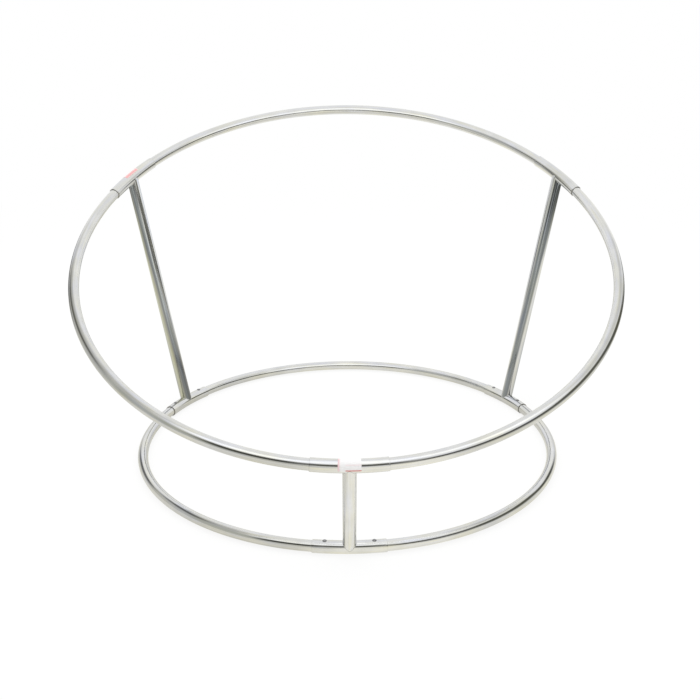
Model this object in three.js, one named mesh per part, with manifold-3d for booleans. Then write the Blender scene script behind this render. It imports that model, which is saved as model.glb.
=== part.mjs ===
// Tilted two-ring stand of plated steel tube: a large upper ring, a smaller ring on the floor,
// three leaning posts, and sleeves with spring buttons that join each ring's three bent tubes.
// Millimetres, +Z up. The origin is on the floor under the centre of the lower ring,
// and the low side of the upper ring looks towards -Y.
import * as THREE from "three";
import { mergeVertices } from "three/addons/utils/BufferGeometryUtils.js";
import Module from "manifold-3d";

// Driving dimensions
const upperRingDiameter = 1000; // over the outside of the ring tube
const lowerRingDiameter = 805; // over the outside of the ring tube
const frontHeight = 196; // floor to the top of the sleeve over the front post
const rearHeight = 495; // the same at the two rear posts
const ringTubeDiameter = 19;
const ringTubeWall = 1.2;
const sleeveDiameter = 22;
const sleeveWall = 1.2;
const postDiameter = 22;
const postWall = 1.2;
const sleeveLength = 120; // along the ring's centreline
const tubeEndGap = 8; // between the two tube ends inside a sleeve
const weldGap = 0.3; // between a coped post end and its sleeve
const seatGap = 0.3; // between pieces that touch

const buttonDiameter = 6.5;
const buttonHoleClearance = 0.3;
const buttonProud = 1; // above the sleeve
const buttonCrown = 0.5; // height of the rounded edge of the head
const buttonSpread = 40; // from the post to each button, along the ring's centreline
const collarDiameter = 8.4;
const collarHeight = 1;

const clipWidth = 7;
const clipThickness = 0.6;
const clipSeatLength = 9; // flat end of an arm, under the button
const clipBendRadius = 2.2;
const clipReach = 22; // from the button to the centre of the bend

const labelLength = 35; // along the sleeve
const labelThickness = 0.2;
const labelFrom = THREE.MathUtils.degToRad(4); // round the sleeve, from the ring's outer side
const frontLabelTo = THREE.MathUtils.degToRad(130); // towards the ring's upper side
const rearLabelTo = THREE.MathUtils.degToRad(110);

// How round things are cut into flats
const tubeSides = 12;
const boreSides = 8;
const headSides = 12;
const bendSteps = 6; // round a clip's bend
const labelSides = 8; // round the sleeve
const chordShare = 0.6; // of the running gap that a bend's chords may take up
const mergeDistance = 1e-4; // corners closer than this are one corner

// Worked out from the driving dimensions
const upperRadius = (upperRingDiameter - ringTubeDiameter) / 2;
const lowerRadius = (lowerRingDiameter - ringTubeDiameter) / 2;
const lowerLevel = sleeveDiameter / 2; // the lower sleeves stand on the floor
const frontLevel = frontHeight - sleeveDiameter / 2;
const rearLevel = rearHeight - sleeveDiameter / 2;
const jointAngles = {
  front: THREE.MathUtils.degToRad(270),
  rear_right: THREE.MathUtils.degToRad(30),
  rear_left: THREE.MathUtils.degToRad(150),
};
const runningGap = (sleeveDiameter - ringTubeDiameter) / 2 - sleeveWall; // ring tube in sleeve
const frontShare = Math.sin(jointAngles.front);
const rearShare = Math.sin(jointAngles.rear_right);
const upperTilt = Math.asin((rearLevel - frontLevel) / (upperRadius * (rearShare - frontShare)));
const upperLevel = frontLevel - upperRadius * frontShare * Math.sin(upperTilt);

// Each ring tube runs from one joint to the next, anticlockwise seen from above.
const ringTubes = {
  right: { from: "front", to: "rear_right", fromName: "front", toName: "rear" },
  rear: { from: "rear_right", to: "rear_left", fromName: "right", toName: "left" },
  left: { from: "rear_left", to: "front", fromName: "rear", toName: "front" },
};

const steel = { color: 0xd6d8d6, roughness: 0.16, metalness: 1 };
const postSteel = { color: 0xc9cdd0, roughness: 0.2, metalness: 1 };
const buttonSteel = { color: 0x8e9092, roughness: 0.3, metalness: 1 };
const springSteel = { color: 0x6f7275, roughness: 0.4, metalness: 1 };
const labelPaper = { color: 0xf4eeee, roughness: 0.5, metalness: 0 };

const wasm = await Module();
wasm.setup();

// An arc of a ring's centreline in the ring's own plane, anticlockwise.
class RingArc extends THREE.Curve {
  constructor(radius, start, end) {
    super();
    this.radius = radius;
    this.start = start;
    this.end = end;
  }

  getPoint(t, target = new THREE.Vector3()) {
    const angle = this.start + (this.end - this.start) * t;
    return target.set(this.radius * Math.cos(angle), this.radius * Math.sin(angle), 0);
  }
}

// Chords along a bend, short enough to stay clear of the neighbour that follows the same bend.
function chordsAlong(arc) {
  const chordAngle = 2 * Math.acos(1 - (chordShare * runningGap) / arc.radius);
  return Math.ceil((arc.end - arc.start) / chordAngle);
}

// A regular outline whose flats, not its corners, lie at the given radius, with a flat on each axis.
function flatSidedPoints(radius, sides) {
  const cornerRadius = radius / Math.cos(Math.PI / sides);
  const points = [];
  for (let i = 0; i < sides; i++) {
    const angle = ((i + 0.5) * 2 * Math.PI) / sides;
    points.push(new THREE.Vector2(cornerRadius * Math.cos(angle), cornerRadius * Math.sin(angle)));
  }
  return points;
}

function tubeSection(diameter, wall, innerSides) {
  const section = new THREE.Shape(flatSidedPoints(diameter / 2, tubeSides));
  if (wall) section.holes.push(new THREE.Path(flatSidedPoints(diameter / 2 - wall, innerSides)));
  return section;
}

function bentTube(diameter, wall, innerSides, arc) {
  return new THREE.ExtrudeGeometry(tubeSection(diameter, wall, innerSides), {
    steps: chordsAlong(arc),
    extrudePath: arc,
    bevelEnabled: false,
  });
}

function straightTube(diameter, wall, length) {
  const section = tubeSection(diameter, wall, boreSides);
  return new THREE.ExtrudeGeometry(section, { depth: length, steps: 1, bevelEnabled: false });
}

// Closed solid of a geometry that has been moved by a matrix.
function solidOf(geometry, matrix = new THREE.Matrix4()) {
  const bare = geometry.clone();
  bare.deleteAttribute("normal");
  bare.deleteAttribute("uv");
  const merged = mergeVertices(bare.applyMatrix4(matrix), mergeDistance);
  return new wasm.Manifold(
    new wasm.Mesh({
      numProp: 3,
      vertProperties: merged.attributes.position.array,
      triVerts: new Uint32Array(merged.index.array),
    }),
  );
}

function geometryOf(solid) {
  const { vertProperties, triVerts, numProp } = solid.getMesh();
  const geometry = new THREE.BufferGeometry();
  const positions = new THREE.InterleavedBuffer(vertProperties, numProp);
  geometry.setAttribute("position", new THREE.InterleavedBufferAttribute(positions, 3, 0));
  geometry.setIndex(new THREE.BufferAttribute(triVerts, 1));
  const flat = geometry.toNonIndexed();
  flat.computeVertexNormals();
  return flat;
}

// Places something on a ring: X along the tube, Y towards the ring's centre, Z up out of its plane.
function placeOnRing(radius, angle) {
  const along = new THREE.Vector3(-Math.sin(angle), Math.cos(angle), 0);
  const inward = new THREE.Vector3(-Math.cos(angle), -Math.sin(angle), 0);
  const up = new THREE.Vector3(0, 0, 1);
  const place = new THREE.Matrix4().makeBasis(along, inward, up);
  return place.setPosition(radius * Math.cos(angle), radius * Math.sin(angle), 0);
}

function addMesh(parent, name, geometry, finish, matrix) {
  const mesh = new THREE.Mesh(geometry, new THREE.MeshStandardMaterial(finish));
  mesh.name = name;
  if (matrix) mesh.applyMatrix4(matrix);
  parent.add(mesh);
  return mesh;
}

// Half the height left in the tube's bore at a given distance to the side of its middle.
function boreHeightAt(side) {
  const boreRadius = ringTubeDiameter / 2 - ringTubeWall;
  return Math.sqrt(boreRadius ** 2 - side ** 2);
}

// Levels of the button's parts above the tube's centreline, along the button's own axis.
const headTop = sleeveDiameter / 2 + buttonProud;
const collarTop = boreHeightAt(collarDiameter / 2) - seatGap;
const collarBottom = collarTop - collarHeight;

function buttonGeometry() {
  const headRadius = buttonDiameter / 2;
  const profile = [
    new THREE.Vector2(0, collarBottom),
    new THREE.Vector2(collarDiameter / 2, collarBottom),
    new THREE.Vector2(collarDiameter / 2, collarTop),
    new THREE.Vector2(headRadius, collarTop),
    new THREE.Vector2(headRadius, headTop - buttonCrown),
    new THREE.Vector2(headRadius - buttonCrown, headTop),
    new THREE.Vector2(0, headTop),
  ];
  return new THREE.LatheGeometry(profile, headSides).rotateX(Math.PI / 2);
}

// Bent strip seen from its side: a flat arm under the button, a sloping stretch back to the bend,
// and the same below, where the lower arm lies on the far wall of the bore.
function clipGeometry() {
  const half = clipThickness / 2;
  const upperArm = collarBottom - seatGap - half;
  const lowerArm = -(boreHeightAt(clipWidth / 2) - seatGap - half);
  const middle = (upperArm + lowerArm) / 2;
  const bend = new THREE.Vector2(-clipReach, middle);
  const centreline = [new THREE.Vector2(clipSeatLength / 2, upperArm)];
  centreline.push(new THREE.Vector2(-clipSeatLength / 2, upperArm));
  for (let i = 0; i <= bendSteps; i++) {
    const angle = Math.PI / 2 + (Math.PI * i) / bendSteps;
    const spoke = new THREE.Vector2(Math.cos(angle), Math.sin(angle));
    centreline.push(spoke.multiplyScalar(clipBendRadius).add(bend));
  }
  centreline.push(new THREE.Vector2(-clipSeatLength / 2, lowerArm));
  centreline.push(new THREE.Vector2(clipSeatLength / 2, lowerArm));

  const sides = [-half, half].map((offset) =>
    centreline.map((point, i) => {
      const before = centreline[Math.max(i - 1, 0)];
      const after = centreline[Math.min(i + 1, centreline.length - 1)];
      const direction = after.clone().sub(before).normalize();
      const normal = new THREE.Vector2(-direction.y, direction.x);
      return point.clone().addScaledVector(normal, offset);
    }),
  );
  const outline = new THREE.Shape([...sides[0], ...sides[1].reverse()]);
  const strip = new THREE.ExtrudeGeometry(outline, { depth: clipWidth, bevelEnabled: false });
  return strip.translate(0, 0, -clipWidth / 2).rotateX(Math.PI / 2);
}

// Thin sheet wrapped part of the way round a sleeve and bent with it.
function labelGeometry(radius, angle, labelTo) {
  const inner = sleeveDiameter / 2 / Math.cos(Math.PI / tubeSides) + seatGap;
  const outer = inner + labelThickness;
  const points = [];
  for (let i = 0; i <= labelSides; i++) {
    const turn = labelFrom + ((labelTo - labelFrom) * i) / labelSides;
    points.push(new THREE.Vector2(-outer * Math.sin(turn), -outer * Math.cos(turn)));
  }
  for (let i = labelSides; i >= 0; i--) {
    const turn = labelFrom + ((labelTo - labelFrom) * i) / labelSides;
    points.push(new THREE.Vector2(-inner * Math.sin(turn), -inner * Math.cos(turn)));
  }
  const halfAngle = labelLength / 2 / radius;
  const arc = new RingArc(radius, angle - halfAngle, angle + halfAngle);
  const section = new THREE.Shape(points);
  return new THREE.ExtrudeGeometry(section, {
    steps: chordsAlong(arc),
    extrudePath: arc,
    bevelEnabled: false,
  });
}

// Straight cutter for a button's hole, from the tube's centreline out past the sleeve.
function holeCutter(radius, angle, flip) {
  const depth = sleeveDiameter;
  const pin = new THREE.CylinderGeometry(
    buttonDiameter / 2 + buttonHoleClearance,
    buttonDiameter / 2 + buttonHoleClearance,
    depth,
    headSides,
  );
  pin.rotateX(Math.PI / 2).translate(0, 0, depth / 2);
  return solidOf(pin, placeOnRing(radius, angle).multiply(flip));
}

const stand = new THREE.Group();
stand.name = "ring_stand";

const lowerRing = new THREE.Group();
lowerRing.position.z = lowerLevel;
const upperRing = new THREE.Group();
upperRing.position.z = upperLevel;
upperRing.rotation.x = upperTilt;
stand.add(lowerRing, upperRing);
stand.updateMatrixWorld(true);

// The buttons look up out of the lower ring and down out of the upper ring, towards the posts.
const lookUp = new THREE.Matrix4();
const lookDown = new THREE.Matrix4().makeRotationX(Math.PI);
const clipGoesBack = new THREE.Matrix4().makeRotationZ(Math.PI);

function buildRing(group, prefix, radius, buttonSide) {
  const sleeveAngle = sleeveLength / 2 / radius;
  const endAngle = tubeEndGap / 2 / radius;
  const buttonAngle = buttonSpread / radius;

  for (const [place, angle] of Object.entries(jointAngles)) {
    const arc = new RingArc(radius, angle - sleeveAngle, angle + sleeveAngle);
    let sleeve = solidOf(bentTube(sleeveDiameter, sleeveWall, tubeSides, arc));
    for (const side of [-buttonAngle, buttonAngle]) {
      sleeve = sleeve.subtract(holeCutter(radius, angle + side, buttonSide));
    }
    addMesh(group, `${prefix}_sleeve_${place}`, geometryOf(sleeve), steel);
  }

  for (const [side, run] of Object.entries(ringTubes)) {
    const from = jointAngles[run.from];
    const to = jointAngles[run.to] + (jointAngles[run.to] < from ? 2 * Math.PI : 0);
    const name = `${prefix}_ring_${side}`;
    const arc = new RingArc(radius, from + endAngle, to - endAngle);
    let tube = solidOf(bentTube(ringTubeDiameter, ringTubeWall, boreSides, arc));
    const ends = [
      { endName: run.fromName, angle: from + buttonAngle, inward: clipGoesBack },
      { endName: run.toName, angle: to - buttonAngle, inward: new THREE.Matrix4() },
    ];
    for (const { endName, angle, inward } of ends) {
      tube = tube.subtract(holeCutter(radius, angle, buttonSide));
      const place = placeOnRing(radius, angle).multiply(buttonSide);
      addMesh(group, `${name}_button_${endName}`, buttonGeometry(), buttonSteel, place);
      const clipPlace = place.clone().multiply(inward);
      addMesh(group, `${name}_clip_${endName}`, clipGeometry(), springSteel, clipPlace);
    }
    addMesh(group, name, geometryOf(tube), steel);
  }
}

buildRing(lowerRing, "lower", lowerRadius, lookUp);
buildRing(upperRing, "upper", upperRadius, lookDown);

// A post runs from the middle of a lower sleeve to the middle of the upper sleeve over it,
// and each end is coped to the round of its sleeve.
function sleeveCutter(group, radius, angle) {
  const reach = (2 * postDiameter) / radius;
  const arc = new RingArc(radius, angle - reach, angle + reach);
  const bar = bentTube(sleeveDiameter + 2 * weldGap, 0, 0, arc);
  return solidOf(bar, group.matrixWorld);
}

function pointOnRing(group, radius, angle) {
  const inPlane = new THREE.Vector3(radius * Math.cos(angle), radius * Math.sin(angle), 0);
  return group.localToWorld(inPlane);
}

for (const [place, angle] of Object.entries(jointAngles)) {
  const foot = pointOnRing(lowerRing, lowerRadius, angle);
  const head = pointOnRing(upperRing, upperRadius, angle);
  const run = head.clone().sub(foot);
  const turn = new THREE.Quaternion().setFromUnitVectors(
    new THREE.Vector3(0, 0, 1),
    run.clone().normalize(),
  );
  const placed = new THREE.Matrix4().compose(foot, turn, new THREE.Vector3(1, 1, 1));
  const post = solidOf(straightTube(postDiameter, postWall, run.length()), placed)
    .subtract(sleeveCutter(lowerRing, lowerRadius, angle))
    .subtract(sleeveCutter(upperRing, upperRadius, angle));
  addMesh(stand, `post_${place}`, geometryOf(post), postSteel);
}

for (const [place, labelTo] of Object.entries({ front: frontLabelTo, rear_left: rearLabelTo })) {
  const geometry = labelGeometry(upperRadius, jointAngles[place], labelTo);
  addMesh(upperRing, `label_${place}`, geometry, labelPaper);
}

export default stand;
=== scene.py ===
import math

import bpy
import numpy as np
from mathutils import Matrix


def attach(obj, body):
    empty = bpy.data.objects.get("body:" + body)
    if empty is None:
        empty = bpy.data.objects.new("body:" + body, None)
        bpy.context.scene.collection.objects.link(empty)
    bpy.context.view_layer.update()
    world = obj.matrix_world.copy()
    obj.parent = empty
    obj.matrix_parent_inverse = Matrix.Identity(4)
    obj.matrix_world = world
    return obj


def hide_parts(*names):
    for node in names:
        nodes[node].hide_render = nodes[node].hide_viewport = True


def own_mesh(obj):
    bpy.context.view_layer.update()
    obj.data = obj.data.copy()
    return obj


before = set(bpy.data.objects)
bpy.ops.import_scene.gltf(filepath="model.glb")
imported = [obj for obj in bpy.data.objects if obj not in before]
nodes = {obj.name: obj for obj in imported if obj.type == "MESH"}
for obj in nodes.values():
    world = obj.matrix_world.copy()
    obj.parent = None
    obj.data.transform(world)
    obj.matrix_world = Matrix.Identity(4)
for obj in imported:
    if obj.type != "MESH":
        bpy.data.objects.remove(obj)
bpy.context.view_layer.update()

scene = bpy.context.scene
print("frame loaded:", len(nodes), "solids")

# Sizes shared by the pieces, in metres, as the solids have them
stand = {
    "ringRadius": {"lower": 0.3930, "upper": 0.4905},  # of the tube's centreline
    "lowerLevel": 0.0110,  # centrelines of the joints above the floor
    "frontLevel": 0.1850,
    "rearLevel": 0.4840,
    "jointDegrees": {"front": 270, "rear_right": 30, "rear_left": 150},
    "buttonSpread": 0.0400,  # from a post to the buttons beside it, along the ring
    "facing": {"lower": 1, "upper": -1},  # the buttons look towards the posts
}
ringTubes = {  # joint at the start, joint at the stop, names of the two ends
    "right": ("front", "rear_right", "front", "rear"),
    "rear": ("rear_right", "rear_left", "right", "left"),
    "left": ("rear_left", "front", "rear", "front"),
}
jointReach = math.sin(math.radians(30)) - math.sin(math.radians(270))  # in ring radii
rise = stand["rearLevel"] - stand["frontLevel"]
tilt = math.asin(rise / (jointReach * stand["ringRadius"]["upper"]))
ringTilt = {"lower": 0.0, "upper": tilt}
ringLevel = {
    "lower": stand["lowerLevel"],
    "upper": stand["frontLevel"] + stand["ringRadius"]["upper"] * math.sin(tilt),
}


# From a ring's own plane to the stand: a turn about X by the ring's tilt, then a lift.
def toStand(ring, local):
    lean = ringTilt[ring]
    x, y, z = local[..., 0], local[..., 1], local[..., 2]
    ahead = y * math.cos(lean) - z * math.sin(lean)
    height = y * math.sin(lean) + z * math.cos(lean) + ringLevel[ring]
    return np.stack([x, ahead, height], -1)


# The way back, from the stand to a ring's own plane.
def toRing(ring, points):
    lean = ringTilt[ring]
    x, y, z = points[..., 0], points[..., 1], points[..., 2] - ringLevel[ring]
    inPlane = y * math.cos(lean) + z * math.sin(lean)
    outOfPlane = z * math.cos(lean) - y * math.sin(lean)
    return np.stack([x, inPlane, outOfPlane], -1)


# Bent tube: the ring's radius plus the section's cosine, turned round the ring's axis,
# and the section's sine out of the ring's plane.
def onTube(ring, angle, turn, radius):
    reach = stand["ringRadius"][ring] + radius * np.cos(turn)
    flat = np.stack([reach * np.cos(angle), reach * np.sin(angle), radius * np.sin(turn)], -1)
    return toStand(ring, flat)


# The ring's centreline, the direction along it and the direction out of its plane.
def jointFrame(ring, angle):
    middle = onTube(ring, np.float64(angle), np.float64(0), 0.0)
    along = onTube(ring, np.float64(angle + 1e-4), np.float64(0), 0.0) - middle
    upward = toStand(ring, np.array([0, 0, 1.0])) - toStand(ring, np.zeros(3))
    return middle, along / np.linalg.norm(along), upward


# One skin of a piece: a grid of points, the same grid in metres along and around for the
# material, whether its faces turn over, and which of its faces are left open.
def skin(points, spread, turned=False, kept=None):
    return {"points": points, "spread": spread, "turned": turned, "kept": kept}


mergeScale = 1e7  # points that agree to a ten-thousandth of a millimetre are one


# Joins skins into one closed mesh. Equal points become one, and a face that has two equal
# corners becomes a triangle.
def makePiece(name, skins, material, sharpDegrees=40):
    corners, places, spreads, count = [], [], [], 0
    for part in skins:
        rows, columns = part["points"].shape[:2]
        index = np.arange(rows * columns).reshape(rows, columns) + count
        quads = np.stack([index[:-1, :-1], index[1:, :-1], index[1:, 1:], index[:-1, 1:]], -1)
        if part["kept"] is not None:
            quads = quads[part["kept"]]
        quads = quads.reshape(-1, 4)
        corners.append(quads[:, ::-1] if part["turned"] else quads)
        places.append(part["points"].reshape(-1, 3))
        spreads.append(part["spread"].reshape(-1, 2))
        count += rows * columns
    corners, places, spreads = (np.concatenate(part) for part in (corners, places, spreads))
    rounded = np.round(places * mergeScale).astype(np.int64)
    _, first, same = np.unique(rounded, axis=0, return_index=True, return_inverse=True)
    faces = same.reshape(-1)[corners]
    used, faces = np.unique(faces, return_inverse=True)
    faces = faces.reshape(corners.shape)
    repeated = faces == np.roll(faces, 1, axis=1)
    pinched = repeated.sum(1) == 1
    whole = ~repeated.any(1)
    triangles = faces[pinched][~repeated[pinched]].reshape(-1, 3)
    triangleCorners = corners[pinched][~repeated[pinched]]
    mesh = bpy.data.meshes.new(name)
    polygons = faces[whole].tolist() + triangles.tolist()
    mesh.from_pydata(places[first][used].tolist(), [], polygons)
    layer = mesh.uv_layers.new(name="spread")
    order = np.concatenate([corners[whole].reshape(-1), triangleCorners.reshape(-1)])
    layer.data.foreach_set("uv", spreads[order].astype(np.float32).reshape(-1))
    mesh.polygons.foreach_set("use_smooth", np.ones(len(mesh.polygons), bool))
    mesh.set_sharp_from_angle(angle=math.radians(sharpDegrees))
    mesh.materials.append(material)
    piece = bpy.data.objects.new(name, mesh)
    scene.collection.objects.link(piece)
    return piece


# Stations from mark to mark, no further apart than a step.
def stationsAlong(marks, step):
    runs = []
    for start, stop in zip(marks[:-1], marks[1:]):
        count = max(math.ceil((stop - start) / step - 1e-6), 1)
        runs.append(np.linspace(start, stop, count, endpoint=False))
    return np.concatenate(runs + [np.array(marks[-1:])])


# Edge of a round hole on a bent tube: along the tube by the circle's cosine, and round the
# section to where the circle's sine lies.
def holeEdge(ring, hole, around, holeRadius, tubeRadius):
    swing = np.arcsin(holeRadius * np.sin(around) / tubeRadius)
    turn = hole["turn"] + swing
    reach = stand["ringRadius"][ring] + tubeRadius * np.cos(turn)
    angle = hole["angle"] + np.arcsin(holeRadius * np.cos(around) / reach)
    return angle, turn


cutEndShadeMark = 1.0  # added to the spread of a tube's cut end, where its material turns darker: raw cut steel, with painted shade of the gap between sleeve and tube
tubeGrid = {
    "windowRows": 11,  # along the tube, over the window round a hole
    "holeRings": 7, "gather": 1.3,  # from the hole to the window's border, closer at the hole
    "endSteps": 5,  # over the rounding of an end
}


# A length of bent tube with rounded ends and round holes. Where a hole is, the grid has a
# window, filled by rings of points that pass from the hole's circle to the window's border.
def bentTubeSkins(ring, start, stop, shape, holes):
    radius, wall, rounding = shape["radius"], shape["wall"], shape["rounding"]
    ringRadius = stand["ringRadius"][ring]
    inner = radius - wall
    turns = np.radians(np.linspace(0, 360, shape["sides"] + 1))
    marks = [start + rounding / ringRadius]
    for hole in holes:
        half = shape["windowHalf"] / ringRadius
        marks += list(np.linspace(hole["angle"] - half, hole["angle"] + half,
                                  tubeGrid["windowRows"]))
    marks.append(stop - rounding / ringRadius)
    angles = stationsAlong(marks, shape["step"] / ringRadius)
    kept = np.ones((len(angles) - 1, len(turns) - 1), bool)
    windows = []
    for hole in holes:
        half = shape["windowHalf"] / ringRadius
        rows = [int(np.argmin(abs(angles - hole["angle"] - side * half))) for side in (-1, 1)]
        reach = math.radians(shape["windowDegrees"])
        columns = [int(np.argmin(abs(turns - hole["turn"] - side * reach))) for side in (-1, 1)]
        kept[rows[0] : rows[1], columns[0] : columns[1]] = False
        windows.append((hole, rows, columns))

    skins = []
    for depth, turned in ((radius, False), (inner, True)):
        angle, turn = np.meshgrid(angles, turns, indexing="ij")
        spread = np.stack([angle * ringRadius, turn * radius], -1)
        skins.append(skin(onTube(ring, angle, turn, depth), spread, turned, kept))

    for hole, rows, columns in windows:
        row = np.arange(rows[0], rows[1] + 1)
        column = np.arange(columns[0], columns[1] + 1)
        borderRow = np.concatenate(
            [row[:-1], np.full(len(column) - 1, row[-1]), row[:0:-1], np.full(len(column), row[0])]
        )
        borderColumn = np.concatenate(
            [np.full(len(row) - 1, column[0]), column[:-1], np.full(len(row) - 1, column[-1]),
             column[::-1]]
        )
        borderAngle, borderTurn = angles[borderRow], turns[borderColumn]
        across = (borderTurn - hole["turn"]) * radius
        lengthwise = (borderAngle - hole["angle"]) * ringRadius
        around = np.arctan2(across, lengthwise)
        chamfer = shape["holeChamfer"]
        for depth, edge, turned in ((radius, shape["hole"] + chamfer, False),
                                    (inner, shape["hole"], True)):
            edgeAngle, edgeTurn = holeEdge(ring, hole, around, edge, depth)
            share = np.linspace(0, 1, tubeGrid["holeRings"])[:, None] ** tubeGrid["gather"]
            angle = edgeAngle + (borderAngle - edgeAngle) * share
            turn = edgeTurn + (borderTurn - edgeTurn) * share
            spread = np.stack([angle * ringRadius, turn * radius], -1)
            skins.append(skin(onTube(ring, angle, turn, depth), spread, turned))
        levels = ((radius, shape["hole"] + chamfer), (radius - chamfer, shape["hole"]),
                  (inner, shape["hole"]))
        strips = [holeEdge(ring, hole, around, edge, depth) + (depth,) for depth, edge in levels]
        points = np.stack([onTube(ring, angle, turn, depth) for angle, turn, depth in strips])
        spread = np.stack([np.stack([angle * ringRadius, turn * radius], -1)
                           for angle, turn, _ in strips])
        skins.append(skin(points, spread, True))

    for edge, side in ((start, 1), (stop, -1)):
        bend = np.radians(np.linspace(0, 90, tubeGrid["endSteps"]))
        inset = rounding * (1 - np.sin(bend))
        depth = radius - rounding * (1 - np.cos(bend))
        insetInner = rounding * (1 - np.cos(bend))
        depthInner = inner + rounding * (1 - np.sin(bend))
        inset = np.concatenate([inset, insetInner])[:, None]
        depth = np.concatenate([depth, depthInner])[:, None]
        angle = edge + side * inset / ringRadius + 0 * turns[None]
        turn = turns[None] + 0 * inset
        spread = np.stack([angle * ringRadius + (radius - depth), turn * radius + cutEndShadeMark], -1)
        skins.append(skin(onTube(ring, angle, turn, depth), spread, side > 0))
    return skins


def newMaterial(name):
    material = bpy.data.materials.new(name)
    material.use_nodes = True
    tree = material.node_tree
    return material, tree, tree.nodes["Principled BSDF"]


def addNode(tree, kind, **settings):
    made = tree.nodes.new(kind)
    for key, value in settings.items():
        if key in made.inputs:
            made.inputs[key].default_value = value
        else:
            setattr(made, key, value)
    return made


def join(tree, start, output, stop, entry):
    tree.links.new(start.outputs[output], stop.inputs[entry])


noiseSpan = (0.3, 0.7)  # a noise seldom leaves this


# A value stretched from a span to a lowest and a highest value.
def remap(tree, source, output, low, high, span=noiseSpan):
    made = addNode(tree, "ShaderNodeMapRange")
    ends = zip(("From Min", "From Max", "To Min", "To Max"), (*span, low, high))
    for entry, value in ends:
        made.inputs[entry].default_value = value
    join(tree, source, output, made, "Value")
    return made


# Two colours mixed by a factor. What is joined to one of them later takes its place.
def mixColors(tree, factor, output, first=(1, 1, 1), second=(1, 1, 1)):
    made = addNode(tree, "ShaderNodeMix", data_type="RGBA")
    made.inputs[6].default_value = (*first, 1)
    made.inputs[7].default_value = (*second, 1)
    join(tree, factor, output, made, 0)
    return made


def timesColor(tree, first, firstOutput, second, secondOutput):
    made = addNode(tree, "ShaderNodeMix", data_type="RGBA", blend_type="MULTIPLY")
    made.inputs[0].default_value = 1.0
    join(tree, first, firstOutput, made, 6)
    join(tree, second, secondOutput, made, 7)
    return made


# A ramp of colours from stops of a place and a colour.
def rampOf(tree, source, output, stops):
    ramp = addNode(tree, "ShaderNodeValToRGB")
    elements = ramp.color_ramp.elements
    elements.remove(elements[-1])
    for number, (place, color) in enumerate(stops):
        element = elements[0] if number == 0 else elements.new(place)
        element.position = place
        element.color = (*color, 1)
    join(tree, source, output, ramp, "Fac")
    return ramp


# Such a ramp over the share of a full turn, from stops of degrees, level and cast.
def roundRamp(tree, wrapped, stops):
    places = [(degrees / 360, [level * part for part in paintedReflectionCasts[cast]])
              for degrees, level, cast in stops]
    return rampOf(tree, wrapped, "Value", places)


# Painted reflections and painted shade that run the length of a tube: duller and brighter stripes
# as a ramp over the turn round it, times a second ramp of painted shade that fades out up the tube.
def paintedReflectionTone(tree, split, stripes):
    share = addNode(tree, "ShaderNodeMapRange", clamp=False)
    share.inputs["From Max"].default_value = 2 * math.pi * stripes["radius"]
    join(tree, split, "Y", share, "Value")
    wrapped = addNode(tree, "ShaderNodeMath", operation="FRACT")
    join(tree, share, "Result", wrapped, 0)
    low = mixColors(tree, remap(tree, split, "X", 0, 1, stripes["fade"]), "Result")
    join(tree, roundRamp(tree, wrapped, stripes["foot"]), "Color", low, 7)
    return timesColor(tree, roundRamp(tree, wrapped, stripes["levels"]), "Color", low, 2)


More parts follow.
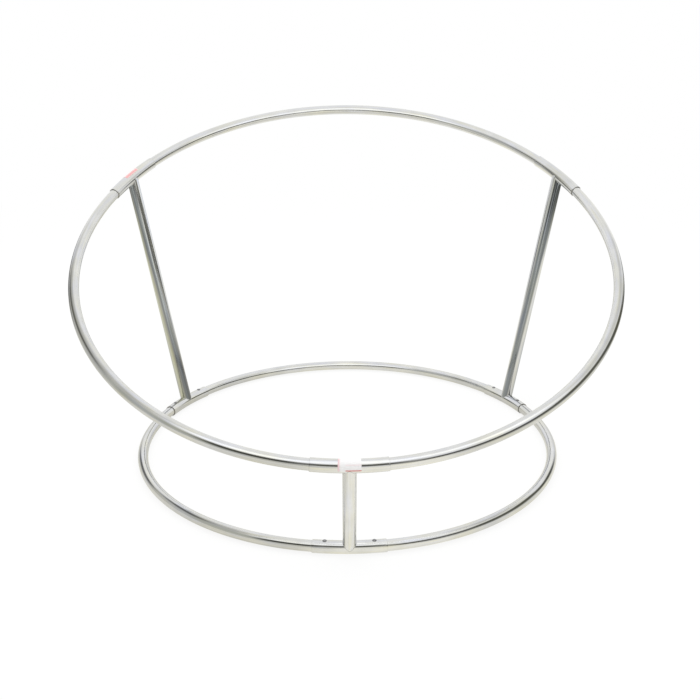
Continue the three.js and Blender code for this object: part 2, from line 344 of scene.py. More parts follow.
# Bright plated steel: fine drawn lines along the tube, broader streaks of tone with them,
# patches of a warm and a cool cast in the plating, and a cloudy change in tone and in how sharp
# the reflections are. Where asked, painted shade toward the foot and stripes of painted reflection;
# darker cut ends, raw steel with painted shade of the gap.
def platedSteel(name, look):
    material, tree, surface = newMaterial(name)
    spread = addNode(tree, "ShaderNodeUVMap", uv_map="spread")
    noises = []
    for along, across in (("linesAlong", "linesAcross"), ("streakAlong", "streakAcross"),
                          ("castAlong", "castAcross")):
        stretch = addNode(tree, "ShaderNodeMapping")
        stretch.inputs["Scale"].default_value = (look[along], look[across], 1)
        join(tree, spread, "UV", stretch, "Vector")
        noise = addNode(tree, "ShaderNodeTexNoise", Scale=1.0, Detail=3.0, Roughness=0.6)
        join(tree, stretch, "Vector", noise, "Vector")
        noises.append(noise)
    drawn, streak, patch = noises
    place = addNode(tree, "ShaderNodeTexCoord")
    cloud = addNode(tree, "ShaderNodeTexNoise", Scale=look["cloudScale"], Detail=4.0)
    join(tree, place, "Object", cloud, "Vector")
    both = addNode(tree, "ShaderNodeMix", data_type="FLOAT")
    both.inputs[0].default_value = look["cloudShare"]
    join(tree, streak, "Fac", both, 2)
    join(tree, cloud, "Fac", both, 3)
    tone = mixColors(tree, remap(tree, both, 0, 0, 1), "Result", look["dim"], look["bright"])
    cast = mixColors(tree, remap(tree, patch, "Fac", 0, 1), "Result", look["cool"], look["warm"])
    tone = timesColor(tree, tone, 2, cast, 2)
    split = addNode(tree, "ShaderNodeSeparateXYZ")
    join(tree, spread, "UV", split, "Vector")
    # Painted shade: darker toward the foot of a post, whole again higher up.
    paintedFootDarkening = remap(tree, split, "X", look["foot"], 1, (0, look["footShadeReach"]))
    shaded = addNode(tree, "ShaderNodeHueSaturation")
    join(tree, paintedFootDarkening, "Result", shaded, "Value")
    # Rear posts: stripes of painted reflection and painted shade multiplied into the tone.
    if "stripes" in look:
        tone = timesColor(tree, tone, 2, paintedReflectionTone(tree, split, look["stripes"]), 2)
    join(tree, tone, 2, shaded, "Color")
    # Cut ends darker: partly the raw cut steel, partly painted shade of the gap at a sleeve's end.
    cutEndShadeMask = addNode(tree, "ShaderNodeMath", operation="GREATER_THAN")
    cutEndShadeMask.inputs[1].default_value = cutEndShadeMark / 2
    join(tree, split, "Y", cutEndShadeMask, 0)
    withCutEndShade = mixColors(tree, cutEndShadeMask, "Value", second=look["cutEndAndGapShade"])
    join(tree, shaded, "Color", withCutEndShade, 6)
    join(tree, withCutEndShade, 2, surface, "Base Color")
    soft = remap(tree, cloud, "Fac", *look["roughness"])
    join(tree, soft, "Result", surface, "Roughness")
    bump = addNode(tree, "ShaderNodeBump", Strength=look["lineStrength"],
                   Distance=look["lineDepth"])
    join(tree, drawn, "Fac", bump, "Height")
    join(tree, bump, "Normal", surface, "Normal")
    surface.inputs["Metallic"].default_value = 1.0
    return material


grainDepth = 5e-5


# Plain metal with a fine grain in its tone and its shine.
def grainySteel(name, look):
    material, tree, surface = newMaterial(name)
    place = addNode(tree, "ShaderNodeTexCoord")
    grain = addNode(tree, "ShaderNodeTexNoise", Scale=look["grainScale"], Detail=6.0)
    join(tree, place, "Object", grain, "Vector")
    tone = mixColors(tree, remap(tree, grain, "Fac", 0, 1), "Result", look["dim"], look["bright"])
    join(tree, tone, 2, surface, "Base Color")
    soft = remap(tree, grain, "Fac", *look["roughness"])
    join(tree, soft, "Result", surface, "Roughness")
    bump = addNode(tree, "ShaderNodeBump", Strength=look["grainStrength"], Distance=grainDepth)
    join(tree, grain, "Fac", bump, "Height")
    join(tree, bump, "Normal", surface, "Normal")
    surface.inputs["Metallic"].default_value = 1.0
    return material


# The cut ends' colour is darker: raw cut steel, with painted shade of the gap at a sleeve's end.
plating = {
    "castAlong": 14, "castAcross": 150, "cool": (0.955, 0.97, 1.05), "warm": (1.0, 0.985, 0.88),
    "cloudScale": 30, "cloudShare": 0.45, "cutEndAndGapShade": (0.50, 0.49, 0.47), "lineDepth": 2e-5,
    "foot": 1.0, "footShadeReach": 0.4,  # painted shade at the foot: share of the tone kept there, and where it is whole again
}
ringFinish = plating | {
    "linesAlong": 40, "linesAcross": 2600, "streakAlong": 6, "streakAcross": 330,
    "dim": (0.58, 0.585, 0.59), "bright": (0.74, 0.74, 0.735),
    "roughness": (0.09, 0.15), "lineStrength": 0.12,
}
frontPostFinish = plating | {
    "linesAlong": 30, "linesAcross": 2200, "streakAlong": 5, "streakAcross": 330,
    "dim": (0.60, 0.605, 0.615), "bright": (0.76, 0.765, 0.78),
    "roughness": (0.20, 0.28), "lineStrength": 0.15,
}
# Rear posts: the same plated steel, brighter here because painted reflection stripes multiply it
# down, and with painted shade toward the foot.
rearPostSteelAndPaintedLight = plating | {
    "linesAlong": 30, "linesAcross": 2200, "streakAlong": 1.5, "streakAcross": 330,
    "dim": (0.80, 0.81, 0.83), "bright": (0.98, 0.985, 1.0), "foot": 0.80,
    "roughness": (0.08, 0.13), "lineStrength": 0.15,
}
# Painted reflections on each rear post, as stripes: degrees round it, the painted share of
# reflected light there, and the tint of that painted reflection. The painted foot shade comes on
# top.
# Tints of the painted reflections on the rear posts.
paintedReflectionCasts = {"plain": (1, 1, 1), "cool": (0.94, 1.0, 1.06), "warm": (1.0, 1.0, 0.82)}
rearPaintedReflections = {
    "rear_right": (
        (0, 0.50, "cool"), (25, 0.75, "plain"), (50, 0.60, "plain"), (75, 1.0, "plain"),
        (93, 0.82, "plain"), (104, 0.66, "plain"), (114, 0.48, "cool"), (125, 0.40, "cool"),
        (137, 0.42, "cool"), (147, 0.34, "cool"), (161, 0.33, "cool"), (170, 0.62, "plain"),
        (181, 1.0, "plain"), (205, 1.0, "plain"), (235, 0.55, "cool"), (265, 0.80, "plain"),
        (300, 0.50, "cool"), (330, 0.70, "plain"), (360, 0.50, "cool"),
    ),
    "rear_left": (
        (0, 0.66, "warm"), (9, 0.60, "warm"), (18, 0.44, "plain"), (29, 0.33, "cool"),
        (42, 0.50, "cool"), (54, 0.68, "cool"), (66, 1.0, "plain"), (110, 1.0, "plain"),
        (138, 0.55, "cool"), (165, 0.75, "plain"), (200, 0.50, "cool"), (235, 0.80, "plain"),
        (270, 0.55, "cool"), (300, 0.70, "plain"), (340, 0.95, "warm"), (352, 0.80, "warm"),
        (360, 0.66, "warm"),
    ),
}
# Painted shade at the foot of each rear post: degrees round it and the share of tone kept there.
paintedFootShade = {
    "rear_right": ((0, 1.0, "plain"), (360, 1.0, "plain")),
    "rear_left": (
        (0, 1.0, "plain"), (10, 0.82, "plain"), (33, 0.85, "plain"), (45, 0.50, "plain"),
        (55, 0.32, "plain"), (66, 0.28, "plain"), (80, 0.32, "plain"), (100, 0.50, "plain"),
        (125, 1.0, "plain"), (360, 1.0, "plain"),
    ),
}
buttonFinish = {
    "grainScale": 900, "dim": (0.20, 0.20, 0.21), "bright": (0.30, 0.30, 0.31),
    "roughness": (0.28, 0.42), "grainStrength": 0.15,
}
springFinish = {
    "grainScale": 1200, "dim": (0.22, 0.23, 0.25), "bright": (0.32, 0.33, 0.35),
    "roughness": (0.3, 0.45), "grainStrength": 0.2,
}
weldFinish = {
    "grainScale": 1500, "dim": (0.60, 0.60, 0.59), "bright": (0.70, 0.70, 0.69),
    "roughness": (0.14, 0.24), "grainStrength": 0.1,
}
ringSteel = platedSteel("bright plated ring tube", ringFinish)
sleeveSteel = platedSteel("bright plated sleeve", ringFinish)
postSteel = {"front": platedSteel("light plated post", frontPostFinish)}
for joint, levels in rearPaintedReflections.items():
    stripes = {"radius": 0.0110, "levels": levels, "foot": paintedFootShade[joint],
               "fade": (0.22, 0.09)}  # up the post: from none to all of the painted foot shade
    look = rearPostSteelAndPaintedLight | {"stripes": stripes}
    postSteel[joint] = platedSteel(f"striped plated post {joint}", look)
buttonSteel = grainySteel("dull button steel", buttonFinish)
springSteel = grainySteel("blued spring steel", springFinish)
weldSteel = grainySteel("plated weld seam", weldFinish)
print("materials made")


ringTube = {
    "radius": 0.0095, "wall": 0.0012, "rounding": 0.0002, "sides": 48, "step": 0.005,
    "endGap": 0.0040,  # from the middle of the joint
    "hole": 0.0034, "holeChamfer": 0.0002, "windowHalf": 0.0065, "windowDegrees": 37.5,
}
sleeve = {
    "radius": 0.0110, "wall": 0.0012, "rounding": 0.0003, "sides": 48, "step": 0.0025,
    "half": 0.0600,
    "hole": 0.0034, "holeChamfer": 0.0002, "windowHalf": 0.0065, "windowDegrees": 37.5,
}


def jointAngle(joint):
    return math.radians(stand["jointDegrees"][joint])


for ring, ringRadius in stand["ringRadius"].items():
    turn = math.radians(90 if stand["facing"][ring] > 0 else 270)
    buttonAngle = stand["buttonSpread"] / ringRadius
    for joint in stand["jointDegrees"]:
        middle = jointAngle(joint)
        half = sleeve["half"] / ringRadius
        holes = [{"angle": middle + side * buttonAngle, "turn": turn} for side in (-1, 1)]
        skins = bentTubeSkins(ring, middle - half, middle + half, sleeve, holes)
        piece = makePiece(f"{ring}_{joint}_sleeve_tube", skins, sleeveSteel)
        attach(piece, "frame")
        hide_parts(f"{ring}_sleeve_{joint}")
    for side, (startJoint, stopJoint, _, _) in ringTubes.items():
        start, stop = jointAngle(startJoint), jointAngle(stopJoint)
        stop += 2 * math.pi if stop < start else 0
        gap = ringTube["endGap"] / ringRadius
        holes = [{"angle": start + buttonAngle, "turn": turn},
                 {"angle": stop - buttonAngle, "turn": turn}]
        skins = bentTubeSkins(ring, start + gap, stop - gap, ringTube, holes)
        piece = makePiece(f"{ring}_{side}_ring_tube", skins, ringSteel)
        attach(piece, "frame")
        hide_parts(f"{ring}_ring_{side}")
print("ring tubes and sleeves made")


post = {
    "radius": 0.0110, "wall": 0.0012, "sides": 96, "rows": 30,
    "drift": {"front": 0, "rear_right": -110, "rear_left": 120},  # degrees of stripe for each metre
    "seat": 0.00005,  # between the coped end and the sleeve
    "halvings": 40,  # of the search for a cope's edge
    "beadRadius": 0.0005, "beadPitch": 0.0011, "beadRipple": 0.15, "beadSides": 16,
    "beadSteps": 640, "beadSearch": 0.05,
}


# How far points are from a ring's centreline circle.
def awayFromRing(ring, points):
    local = toRing(ring, points)
    outward = np.hypot(local[..., 0], local[..., 1]) - stand["ringRadius"][ring]
    return np.hypot(outward, local[..., 2])


# Where lines that leave a joint come out of its sleeve, by a halving search on all at once.
def copeReach(ring, starts, direction, limit):
    low, high = np.zeros(len(starts)), np.full(len(starts), limit)
    for _ in range(post["halvings"]):
        middle = (low + high) / 2
        away = awayFromRing(ring, starts + middle[:, None] * direction)
        outside = away > sleeve["radius"] + post["seat"]
        high = np.where(outside, middle, high)
        low = np.where(outside, low, middle)
    return high


# A straight tube whose two ends follow the rounds of their sleeves: each line along the
# post runs from where it leaves the lower sleeve to where it enters the upper one.
def postSkins(joint, foot, head, across):
    axis = (head - foot) / np.linalg.norm(head - foot)
    length = np.linalg.norm(head - foot)
    first = across - axis * (across @ axis)
    first /= np.linalg.norm(first)
    second = np.cross(axis, first)
    around = np.radians(np.linspace(0, 360, post["sides"] + 1))
    spokes = np.cos(around)[:, None] * first + np.sin(around)[:, None] * second
    rims, skins = [], []
    for radius, inside in ((post["radius"], False), (post["radius"] - post["wall"], True)):
        low = copeReach("lower", foot + radius * spokes, axis, length / 2)
        high = length - copeReach("upper", head + radius * spokes, -axis, length / 2)
        share = np.linspace(0, 1, post["rows"])[None]
        reach = low[:, None] + (high - low)[:, None] * share
        points = foot + radius * spokes[:, None] + reach[..., None] * axis
        turned = around[:, None] + math.radians(post["drift"][joint]) * (reach - length / 2)
        spread = np.stack([reach, turned * post["radius"]], -1)
        skins.append(skin(points, spread, inside))
        rims.append((points, spread))
    for row, turned in ((0, False), (-1, True)):
        points = np.stack([rims[1][0][:, row], rims[0][0][:, row]], 1)
        spread = np.stack([rims[1][1][:, row], rims[0][1][:, row]], 1)
        skins.append(skin(points, spread, turned))
    return skins


# Weld bead: a small circle carried along the seam, in the corner between the post and the
# sleeve, swelling once for each drop of the weld.
def beadSkins(ring, base, direction, across):
    first = across - direction * (across @ direction)
    first /= np.linalg.norm(first)
    second = np.cross(direction, first)
    around = np.linspace(0, 2 * math.pi, post["beadSteps"] + 1)
    spokes = np.cos(around)[:, None] * first + np.sin(around)[:, None] * second
    starts = base + post["radius"] * spokes
    reach = copeReach(ring, starts, direction, post["beadSearch"])
    seam = starts + reach[:, None] * direction
    local = toRing(ring, seam)
    flat = np.hypot(local[:, 0], local[:, 1])
    centre = local * 0
    centre[:, :2] = local[:, :2] / flat[:, None] * stand["ringRadius"][ring]
    fromSleeve = seam - toStand(ring, centre)
    fromSleeve /= np.linalg.norm(fromSleeve, axis=1)[:, None]
    outward = spokes + fromSleeve
    outward /= np.linalg.norm(outward, axis=1)[:, None]
    step = np.roll(seam[:-1], -1, axis=0) - np.roll(seam[:-1], 1, axis=0)
    step = np.concatenate([step, step[:1]])
    sideways = np.cross(step, outward)
    sideways /= np.linalg.norm(sideways, axis=1)[:, None]
    lengths = np.linalg.norm(np.diff(seam, axis=0), axis=1)
    travelled = np.concatenate([[0], np.cumsum(lengths)])
    drops = round(travelled[-1] / post["beadPitch"])
    swell = np.abs(np.sin(math.pi * drops * travelled / travelled[-1]))
    radius = post["beadRadius"] * (1 - post["beadRipple"] * (1 - swell))
    turn = np.linspace(0, 2 * math.pi, post["beadSides"] + 1)
    offset = (np.cos(turn)[None, :, None] * outward[:, None]
              + np.sin(turn)[None, :, None] * sideways[:, None])
    points = seam[:, None] + radius[:, None, None] * offset
    around = turn[None] * 2 * post["beadRadius"]
    spread = np.stack(np.broadcast_arrays(travelled[:, None], around), -1)
    return [skin(points, spread, True)]


for joint in stand["jointDegrees"]:
    foot, along, _ = jointFrame("lower", jointAngle(joint))
    head, _, _ = jointFrame("upper", jointAngle(joint))
    piece = makePiece(f"{joint}_post_tube", postSkins(joint, foot, head, along), postSteel[joint])
    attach(piece, "frame")
    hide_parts(f"post_{joint}")
    axis = (head - foot) / np.linalg.norm(head - foot)
    ends = {"foot": ("lower", foot, axis), "head": ("upper", head, -axis)}
    for end, (ring, base, direction) in ends.items():
        bead = makePiece(f"{joint}_post_{end}_weld", beadSkins(ring, base, direction, along),
                         weldSteel)
        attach(bead, "frame")
print("posts and weld seams made")


button = {
    "radius": 0.00325, "top": 0.0120, "crown": 0.0009,
    "collarRadius": 0.0042, "collarTop": 0.00686, "collarHeight": 0.0010, "collarEdge": 0.0002,
    "sides": 48, "cornerSteps": 7,
}
clip = {
    "halfWidth": 0.0035, "halfThickness": 0.0003, "edge": 0.0002,
    "upperArm": 0.00526, "lowerArm": -0.00693,  # middles of the strip, along the button's axis
    "seatHalf": 0.0045, "reach": 0.0220, "bendRadius": 0.0022,
    "travel": 0.0030,
    "bendSteps": 17, "seatSteps": 4, "slopeSteps": 9, "edgeSteps": 4,
}


# Corner of a profile rounded with a quarter circle, between two headings in degrees.
def roundCorner(centreRadius, centreHeight, radius, start, stop, count):
    heading = np.radians(np.linspace(start, stop, count))
    return np.stack([centreRadius + radius * np.cos(heading),
                     centreHeight + radius * np.sin(heading)], -1)


# Button: a profile of radius and height turned about the button's own axis.
def buttonSkins(centre, along, outward):
    low = button["collarTop"] - button["collarHeight"]
    edge, crown, count = button["collarEdge"], button["crown"], button["cornerSteps"]
    collar, radius, top = button["collarRadius"], button["radius"], button["top"]
    profile = np.concatenate([
        [[0, low]],
        roundCorner(collar - edge, low + edge, edge, -90, 0, count),
        roundCorner(collar - edge, button["collarTop"] - edge, edge, 0, 90, count),
        [[radius, button["collarTop"]]],
        roundCorner(radius - crown, top - crown, crown, 0, 90, count),
        [[0, top]],
    ])
    around = np.linspace(0, 2 * math.pi, button["sides"] + 1)
    spokes = np.cos(around)[:, None] * along + np.sin(around)[:, None] * np.cross(outward, along)
    points = centre + profile[:, None, :1] * spokes + profile[:, None, 1:] * outward
    travelled = np.concatenate([[0], np.cumsum(np.hypot(*np.diff(profile, axis=0).T))])
    spread = np.stack(np.broadcast_arrays(travelled[:, None], around[None] * radius), -1)
    return [skin(points, spread, True)]


# Clip: a strip with rounded edges carried along a flat arm, a sloping stretch, the bend and
# the same way back.
def clipSkins(centre, inward, outward):
    middle = (clip["upperArm"] + clip["lowerArm"]) / 2
    bend = np.radians(np.linspace(90, 270, clip["bendSteps"]))
    bendPoints = np.stack([-clip["reach"] + clip["bendRadius"] * np.cos(bend),
                           middle + clip["bendRadius"] * np.sin(bend)], -1)
    seat = np.linspace(clip["seatHalf"], -clip["seatHalf"], clip["seatSteps"])
    slope = np.linspace(0, 1, clip["slopeSteps"])[1:-1, None]
    upper = np.stack([seat, 0 * seat + clip["upperArm"]], -1)
    lower = np.stack([seat[::-1], 0 * seat + clip["lowerArm"]], -1)
    downhill = upper[-1] + (bendPoints[0] - upper[-1]) * slope
    uphill = bendPoints[-1] + (lower[0] - bendPoints[-1]) * slope
    line = np.concatenate([upper, downhill, bendPoints, uphill, lower])
    heading = np.gradient(line, axis=0)
    heading /= np.linalg.norm(heading, axis=1)[:, None]
    normal = np.stack([-heading[:, 1], heading[:, 0]], -1)
    edge, count = clip["edge"], clip["edgeSteps"]
    wide, thick = clip["halfWidth"] - edge, clip["halfThickness"] - edge
    section = np.concatenate([
        roundCorner(wide, thick, edge, 0, 90, count),
        roundCorner(-wide, thick, edge, 90, 180, count),
        roundCorner(-wide, -thick, edge, 180, 270, count),
        roundCorner(wide, -thick, edge, 270, 360, count),
    ])
    section = np.concatenate([section, section[:1]])
    sideways = np.cross(outward, inward)
    flatPoints = line[:, None] + section[None, :, 1:] * normal[:, None]
    points = (centre + flatPoints[..., :1] * inward + flatPoints[..., 1:] * outward
              + section[None, :, :1] * sideways)
    travelled = np.concatenate([[0], np.cumsum(np.linalg.norm(np.diff(line, axis=0), axis=1))])
    spread = np.stack(np.broadcast_arrays(travelled[:, None], section[None, :, 0]), -1)
    skins = [skin(points, spread, True)]
    for row, turned in ((0, False), (-1, True)):
        rim = points[row]
        cap = np.stack([rim, np.broadcast_to(rim[:-1].mean(0), rim.shape)])
        skins.append(skin(cap, np.stack([spread[row], spread[row]]), turned))
    return skins


for ring, ringRadius in stand["ringRadius"].items():
    buttonAngle = stand["buttonSpread"] / ringRadius
    for side, (startJoint, stopJoint, startEnd, stopEnd) in ringTubes.items():
        places = ((startEnd, jointAngle(startJoint) + buttonAngle, -1),
                  (stopEnd, jointAngle(stopJoint) - buttonAngle, 1))
        for end, angle, way in places:
            centre, along, upward = jointFrame(ring, angle)
            outward = upward * stand["facing"][ring]
            node = f"{ring}_ring_{side}_button_{end}"
            head = makePiece(f"{ring}_{side}_{end}_button_head",
                             buttonSkins(centre, along, outward), buttonSteel)
            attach(head, f"{ring}_{side}_{end}_button")
            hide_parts(node)
            strip = makePiece(f"{ring}_{side}_{end}_clip_strip",
                              clipSkins(centre, along * way, outward), springSteel)
            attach(strip, "frame")
            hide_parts(f"{ring}_ring_{side}_clip_{end}")
            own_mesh(strip)
print("buttons and clips made")


sticker = {
    "half": 0.0175, "fromDegrees": 4, "toDegrees": {"front": 130, "rear_left": 110},
    "cornerRadius": 0.0015,
    "gap": 0.00004, "thickness": 0.00012, "columns": 41, "rows": 33,
}


# Sticker: a sheet wrapped part of the way round a sleeve. Its half length draws in near its
# two long edges by a circle's rise, which rounds the corners.
def stickerSkins(joint):
    middle = jointAngle(joint)
    ringRadius = stand["ringRadius"]["upper"]
    radius = sleeve["radius"]
    turns = np.radians(
        np.linspace(sticker["fromDegrees"], sticker["toDegrees"][joint], sticker["rows"]))
    fromEdge = np.minimum(turns - turns[0], turns[-1] - turns) * radius
    short = np.clip(1 - fromEdge / sticker["cornerRadius"], 0, 1)
    half = sticker["half"] - sticker["cornerRadius"] * (1 - np.sqrt(1 - short**2))
    share = np.linspace(-1, 1, sticker["columns"])
    angle = middle + share[:, None] * half[None] / ringRadius
    turn = np.broadcast_to(turns[None], angle.shape)
    spread = np.stack([0.5 + share[:, None] * half[None] / (2 * sticker["half"]),
                       (turn - turns[0]) / (turns[-1] - turns[0])], -1)
    inner = onTube("upper", angle, turn, radius + sticker["gap"])
    outer = onTube("upper", angle, turn, radius + sticker["gap"] + sticker["thickness"])
    skins = [skin(outer, spread), skin(inner, spread, True)]
    for rows, turned in (((0, slice(None)), True), ((-1, slice(None)), False),
                         ((slice(None), 0), False), ((slice(None), -1), True)):
        edge = np.stack([outer[rows], inner[rows]])
        skins.append(skin(edge, np.stack([spread[rows], spread[rows]]), turned))
    return skins


paperFinish = {
    "fibreScale": 1400, "mottle": (0.95, 1.04), "roughness": (0.32, 0.44),
    "fibreStrength": 0.1, "fibreDepth": 3e-5,
}


# Sticker paper: a pale coated sheet with plain bands across its width. They start at a place
# along the sheet, and one short side has a tint.
def stickerPaper(name, look):
    material, tree, surface = newMaterial(name)
    spread = addNode(tree, "ShaderNodeUVMap", uv_map="spread")
    split = addNode(tree, "ShaderNodeSeparateXYZ")
    join(tree, spread, "UV", split, "Vector")
    begins = remap(tree, split, "X", 0, 1, look["begins"])
    sheet = mixColors(tree, begins, "Result", look["paper"])
    join(tree, rampOf(tree, split, "Y", look["bands"]), "Color", sheet, 7)
    side = remap(tree, split, "X", 0, 1, look["side"])
    tinted = mixColors(tree, side, "Result", look["sideColor"])
    join(tree, sheet, 2, tinted, 7)
    place = addNode(tree, "ShaderNodeTexCoord")
    fibre = addNode(tree, "ShaderNodeTexNoise", Scale=paperFinish["fibreScale"], Detail=4.0)
    join(tree, place, "Object", fibre, "Vector")
    mottle = addNode(tree, "ShaderNodeHueSaturation")
    join(tree, remap(tree, fibre, "Fac", *paperFinish["mottle"]), "Result", mottle, "Value")
    join(tree, tinted, 2, mottle, "Color")
    join(tree, mottle, "Color", surface, "Base Color")
    soft = remap(tree, fibre, "Fac", *paperFinish["roughness"])
    join(tree, soft, "Result", surface, "Roughness")
    bump = addNode(tree, "ShaderNodeBump", Strength=paperFinish["fibreStrength"],
                   Distance=paperFinish["fibreDepth"])
    join(tree, fibre, "Fac", bump, "Height")
    join(tree, bump, "Normal", surface, "Normal")
    return material


stickerLook = {
    "front": {
        "paper": (0.80, 0.79, 0.79), "begins": (0.30, 0.36),
        "bands": ((0, (0.58, 0.21, 0.19)), (0.07, (0.58, 0.21, 0.19)), (0.12, (0.80, 0.79, 0.79)),
                  (0.36, (0.80, 0.79, 0.79)), (0.42, (0.78, 0.66, 0.67)),
                  (0.48, (0.80, 0.79, 0.79)), (1, (0.80, 0.79, 0.80))),
        "side": (0.02, 0.12), "sideColor": (0.74, 0.50, 0.52),
    },
    "rear_left": {
        "paper": (0.82, 0.74, 0.74), "begins": (0.02, 0.06),
        "bands": ((0, (0.82, 0.80, 0.80)), (0.45, (0.82, 0.78, 0.78)), (0.62, (0.80, 0.60, 0.60)),
                  (0.80, (0.74, 0.36, 0.36)), (0.92, (0.74, 0.38, 0.38)), (1, (0.78, 0.56, 0.56))),
        "side": (0.0, 0.04), "sideColor": (0.74, 0.50, 0.52),
    },
}
for joint, look in stickerLook.items():
    sheet = stickerPaper(f"coated sticker paper {joint}", look)
    piece = makePiece(f"{joint}_sticker_sheet", stickerSkins(joint), sheet)
    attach(piece, "frame")
    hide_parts(f"label_{joint}")
print("stickers made")


studio = {
    "floorColor": (0.90, 0.90, 0.89),
    "floorShow": 0.86,  # share of plain white in the floor beside the object
    "floorFade": (0.9, 2.4),  # from here to here the floor turns wholly white
    "floorReflectShare": 0.80,  # the same share in the metal, in the floor's tone there
    "worldLevel": 0.80,
    "lampLevel": 1.28, "lampSize": (7.0, 6.0), "lampHeight": 5.0,
}
# Dome that shows only in the metal: its tone low down and high up, and cards on it. A card has
# a compass direction from +Y towards +X and half width, a height and half height, how far its
# sides and its upper and lower edges fade, all in degrees, and its tone.
dome = {
    "radius": 1.3, "low": -4, "compassSteps": 240, "heightSteps": 141,
    "horizon": 0.80, "sky": 1.10, "skyFrom": 26, "tint": (1.0, 1.0, 0.99),
}
cardValues = ("at", "half", "up", "halfUp", "side", "edge", "tone")
cards = [dict(zip(cardValues, values)) for values in (
    (185, 125, 0, 14, 12, 20, (0.66, 0.66, 0.61)),
    (262, 34, 34, 28, 26, 26, (0.63, 0.63, 0.60)),
    (86, 24, 50, 12, 18, 14, (0.82, 0.82, 0.80)),
    (174, 58, 54, 10, 26, 12, (1.55, 1.56, 1.57)),
    (178, 16, 66, 16, 14, 10, (1.50, 1.51, 1.52)),
    (232, 24, 20, 12, 16, 12, (0.56, 0.57, 0.52)),
    (168, 18, 3, 9, 16, 10, (1.12, 1.10, 1.00)),
    (178, 15, 26, 9, 12, 8, (0.12, 0.12, 0.10)),
    (206, 15, 25, 11, 12, 8, (0.08, 0.08, 0.07)),
    (138, 26, 18, 9, 16, 8, (0.12, 0.12, 0.11)),
    (98, 24, 20, 12, 16, 10, (0.13, 0.13, 0.105)),
    (70, 14, 13, 9, 12, 8, (0.12, 0.12, 0.10)),
    (273, 16, 35, 8, 14, 12, (0.16, 0.16, 0.15)),
    (300, 14, 15, 8, 12, 8, (0.16, 0.16, 0.16)),
)]
# The floor's own tone in the metal: even, with wedges that start at a distance from the middle.
floorTone = {
    "even": (0.86, 0.84, 0.75), "gridSteps": 180, "from": 0.36, "fade": 0.10,  # metres
    "distances": (0, 0.2, 0.31, 0.36, 0.41, 0.5, 0.7, 1.0, 1.5, 3.0, 9.0),
}
wedges = (
    {"at": 168, "half": 21, "side": 16, "tone": (1.20, 1.17, 1.05)},
    {"at": 118, "half": 30, "side": 30, "tone": (0.98, 0.96, 0.86)},
    {"at": 0, "half": 24, "side": 26, "tone": (1.10, 1.08, 0.98)},
    {"at": 290, "half": 30, "side": 30, "tone": (0.68, 0.67, 0.60)},
    {"at": 66, "half": 18, "side": 22, "tone": (0.74, 0.72, 0.65)},
)


# Largest of three light path outputs: one for each ray that shows a surface.
def shownRay(tree):
    ray = addNode(tree, "ShaderNodeLightPath")
    largest = addNode(tree, "ShaderNodeMath", operation="MAXIMUM")
    join(tree, ray, "Is Camera Ray", largest, 0)
    join(tree, ray, "Is Glossy Ray", largest, 1)
    shown = addNode(tree, "ShaderNodeMath", operation="MAXIMUM")
    join(tree, largest, "Value", shown, 0)
    join(tree, ray, "Is Transmission Ray", shown, 1)
    return ray, shown


# Floor: a pale matt surface with a share of plain white that grows with the distance from the
# object. In reflections it has its own warm tone.
def floorMaterial():
    material, tree, surface = newMaterial("pale studio floor")
    surface.inputs["Base Color"].default_value = (*studio["floorColor"], 1)
    surface.inputs["Roughness"].default_value = 1.0
    surface.inputs["Specular IOR Level"].default_value = 0.0
    place = addNode(tree, "ShaderNodeTexCoord")
    distance = addNode(tree, "ShaderNodeVectorMath", operation="LENGTH")
    join(tree, place, "Object", distance, 0)
    fade = remap(tree, distance, "Value", studio["floorShow"], 1, studio["floorFade"])
    fade.interpolation_type = "SMOOTHSTEP"
    shade = addNode(tree, "ShaderNodeAttribute", attribute_name="shade")

    ray, shown = shownRay(tree)
    tone = mixColors(tree, ray, "Is Glossy Ray")
    join(tree, shade, "Color", tone, 7)
    glow = addNode(tree, "ShaderNodeEmission", Strength=1.0)
    join(tree, tone, 2, glow, "Color")
    level = addNode(tree, "ShaderNodeMix", data_type="FLOAT")
    join(tree, ray, "Is Glossy Ray", level, 0)
    join(tree, fade, "Result", level, 2)
    level.inputs[3].default_value = studio["floorReflectShare"]
    share = addNode(tree, "ShaderNodeMath", operation="MULTIPLY")
    join(tree, shown, "Value", share, 0)
    join(tree, level, 0, share, 1)
    blend = addNode(tree, "ShaderNodeMixShader")
    join(tree, share, "Value", blend, 0)
    tree.links.new(surface.outputs[0], blend.inputs[1])
    tree.links.new(glow.outputs[0], blend.inputs[2])
    tree.links.new(blend.outputs[0], tree.nodes["Material Output"].inputs["Surface"])
    return material


# Smooth step: flat at nought and at one, three times the square less twice the cube between.
def smoothStep(share):
    share = np.clip(share, 0, 1)
    return share * share * (3 - 2 * share)


# Cover of a patch: full inside, a smooth step down over the fade, nothing outside.
def coverOf(distance, half, fade):
    return smoothStep(0.5 - (distance - half) / fade)


def compassApart(heading, at):
    return np.abs((heading - at + 180) % 360 - 180)


# Tone of the dome at a compass direction and a height, with the cards laid over one another.
def domeTone(place):
    heading = np.degrees(np.arctan2(place[:, 0], place[:, 1]))
    above = np.degrees(np.arcsin(np.clip(place[:, 2] / dome["radius"], -1, 1)))
    level = dome["horizon"] + (dome["sky"] - dome["horizon"]) * smoothStep(above / dome["skyFrom"])
    tone = level[:, None] * np.array(dome["tint"])
    for card in cards:
        sideways = coverOf(compassApart(heading, card["at"]), card["half"], card["side"])
        upright = coverOf(np.abs(above - card["up"]), card["halfUp"], card["edge"])
        cover = (sideways * upright)[:, None]
        tone = tone * (1 - cover) + np.array(card["tone"]) * cover
    return tone


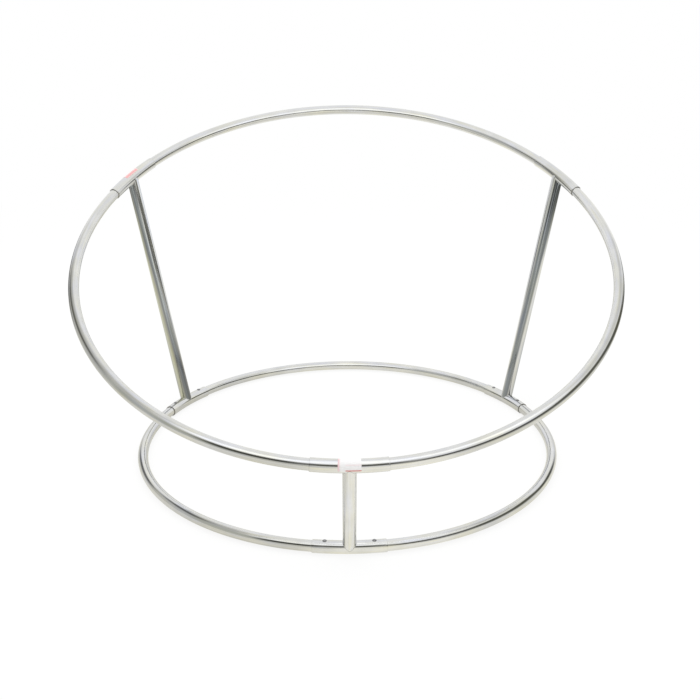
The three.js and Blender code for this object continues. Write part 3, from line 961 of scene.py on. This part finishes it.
# Tone of the floor in the metal, with the wedges laid over one another.
def floorToneAt(place):
    heading = np.degrees(np.arctan2(place[:, 0], place[:, 1]))
    away = 1 - coverOf(np.hypot(place[:, 0], place[:, 1]), floorTone["from"], floorTone["fade"])
    tone = np.ones((len(place), 1)) * np.array(floorTone["even"])
    for wedge in wedges:
        cover = away * coverOf(compassApart(heading, wedge["at"]), wedge["half"], wedge["side"])
        tone = tone * (1 - cover[:, None]) + np.array(wedge["tone"]) * cover[:, None]
    return tone


# Writes a tone for each corner of a stage piece's mesh, where its material reads it.
def shadeCorners(piece, toneAt):
    place = np.zeros(len(piece.data.vertices) * 3)
    piece.data.vertices.foreach_get("co", place)
    tone = toneAt(place.reshape(-1, 3))
    colors = np.concatenate([tone, np.ones((len(tone), 1))], 1)
    attribute = piece.data.color_attributes.new("shade", "FLOAT_COLOR", "POINT")
    attribute.data.foreach_set("color", colors.astype(np.float32).reshape(-1))


# Dome: circles of stations round the object, on a sphere about the middle of the floor.
def makeDome():
    compass = np.radians(np.linspace(0, 360, dome["compassSteps"] + 1))
    height = np.radians(np.linspace(dome["low"], 90, dome["heightSteps"]))
    turn, high = np.meshgrid(compass, height, indexing="ij")
    points = dome["radius"] * np.stack(
        [np.sin(turn) * np.cos(high), np.cos(turn) * np.cos(high), np.sin(high)], -1)
    material, tree, _ = newMaterial("studio dome")
    shade = addNode(tree, "ShaderNodeAttribute", attribute_name="shade")
    glow = addNode(tree, "ShaderNodeEmission", Strength=1.0)
    join(tree, shade, "Color", glow, "Color")
    tree.links.new(glow.outputs[0], tree.nodes["Material Output"].inputs["Surface"])
    shell = makePiece("studio_dome", [skin(points, points[..., :2])], material)
    shadeCorners(shell, domeTone)
    shell.visible_camera = False
    shell.visible_diffuse = False
    shell.visible_shadow = False
    shell.visible_transmission = False


# Floor: circles about its middle, flat.
def makeFloor():
    compass = np.radians(np.linspace(0, 360, floorTone["gridSteps"] + 1))
    turn, away = np.meshgrid(compass, np.array(floorTone["distances"]), indexing="ij")
    points = np.stack([np.sin(turn) * away, np.cos(turn) * away, 0 * away], -1)
    floor = makePiece("studio_floor", [skin(points, points[..., :2])], floorMaterial())
    shadeCorners(floor, floorToneAt)


def makeStage():
    makeFloor()
    makeDome()

    data = bpy.data.lights.new("soft overhead lamp", "AREA")
    data.shape = "RECTANGLE"
    data.size, data.size_y = studio["lampSize"]
    data.energy = studio["lampLevel"] * math.pi * data.size * data.size_y
    lamp = bpy.data.objects.new("soft overhead lamp", data)
    lamp.location = (0, 0, studio["lampHeight"])
    lamp.visible_camera = False
    lamp.visible_glossy = False
    scene.collection.objects.link(lamp)


def makeWorld():
    world = bpy.data.worlds.new("white studio")
    scene.world = world
    world.use_nodes = True
    tree = world.node_tree
    plain = tree.nodes["Background"]
    plain.inputs["Color"].default_value = (1, 1, 1, 1)
    plain.inputs["Strength"].default_value = studio["worldLevel"]
    white = addNode(tree, "ShaderNodeBackground", Strength=1.0)
    white.inputs["Color"].default_value = (1, 1, 1, 1)
    _, shown = shownRay(tree)
    blend = addNode(tree, "ShaderNodeMixShader")
    join(tree, shown, "Value", blend, 0)
    tree.links.new(plain.outputs[0], blend.inputs[1])
    tree.links.new(white.outputs[0], blend.inputs[2])
    tree.links.new(blend.outputs[0], tree.nodes["World Output"].inputs["Surface"])


view = {
    "place": (-0.0125756, -1.8449687, 0.9061131),
    "down": 0.3659, "turn": 0.0099, "roll": 0.0034,  # radians
    "focal": 1044.34, "frame": 700,  # pixels
    "sensor": 36,  # millimetres
    "clip": (0.05, 60),
}


# Looks along the turn and the downward pitch, and then rolls about that line.
def makeCamera():
    down, turn, roll = view["down"], view["turn"], view["roll"]
    ahead = np.array([math.sin(turn) * math.cos(down), math.cos(turn) * math.cos(down),
                      -math.sin(down)])
    right = np.array([math.cos(turn), -math.sin(turn), 0])
    below = np.cross(ahead, right)
    rolledRight = math.cos(roll) * right + math.sin(roll) * below
    rolledBelow = math.cos(roll) * below - math.sin(roll) * right
    data = bpy.data.cameras.new("photo camera")
    data.sensor_width = view["sensor"]
    data.lens = view["focal"] * data.sensor_width / view["frame"]
    data.clip_start, data.clip_end = view["clip"]
    camera = bpy.data.objects.new("photo camera", data)
    pose = np.eye(4)
    pose[:3, 0], pose[:3, 1], pose[:3, 2], pose[:3, 3] = (
        rolledRight, -rolledBelow, -ahead, view["place"])
    camera.matrix_world = Matrix(pose.tolist())
    scene.collection.objects.link(camera)
    scene.camera = camera


makeStage()
makeWorld()
makeCamera()
scene.view_settings.view_transform = "Standard"
print("stage, light and camera made")
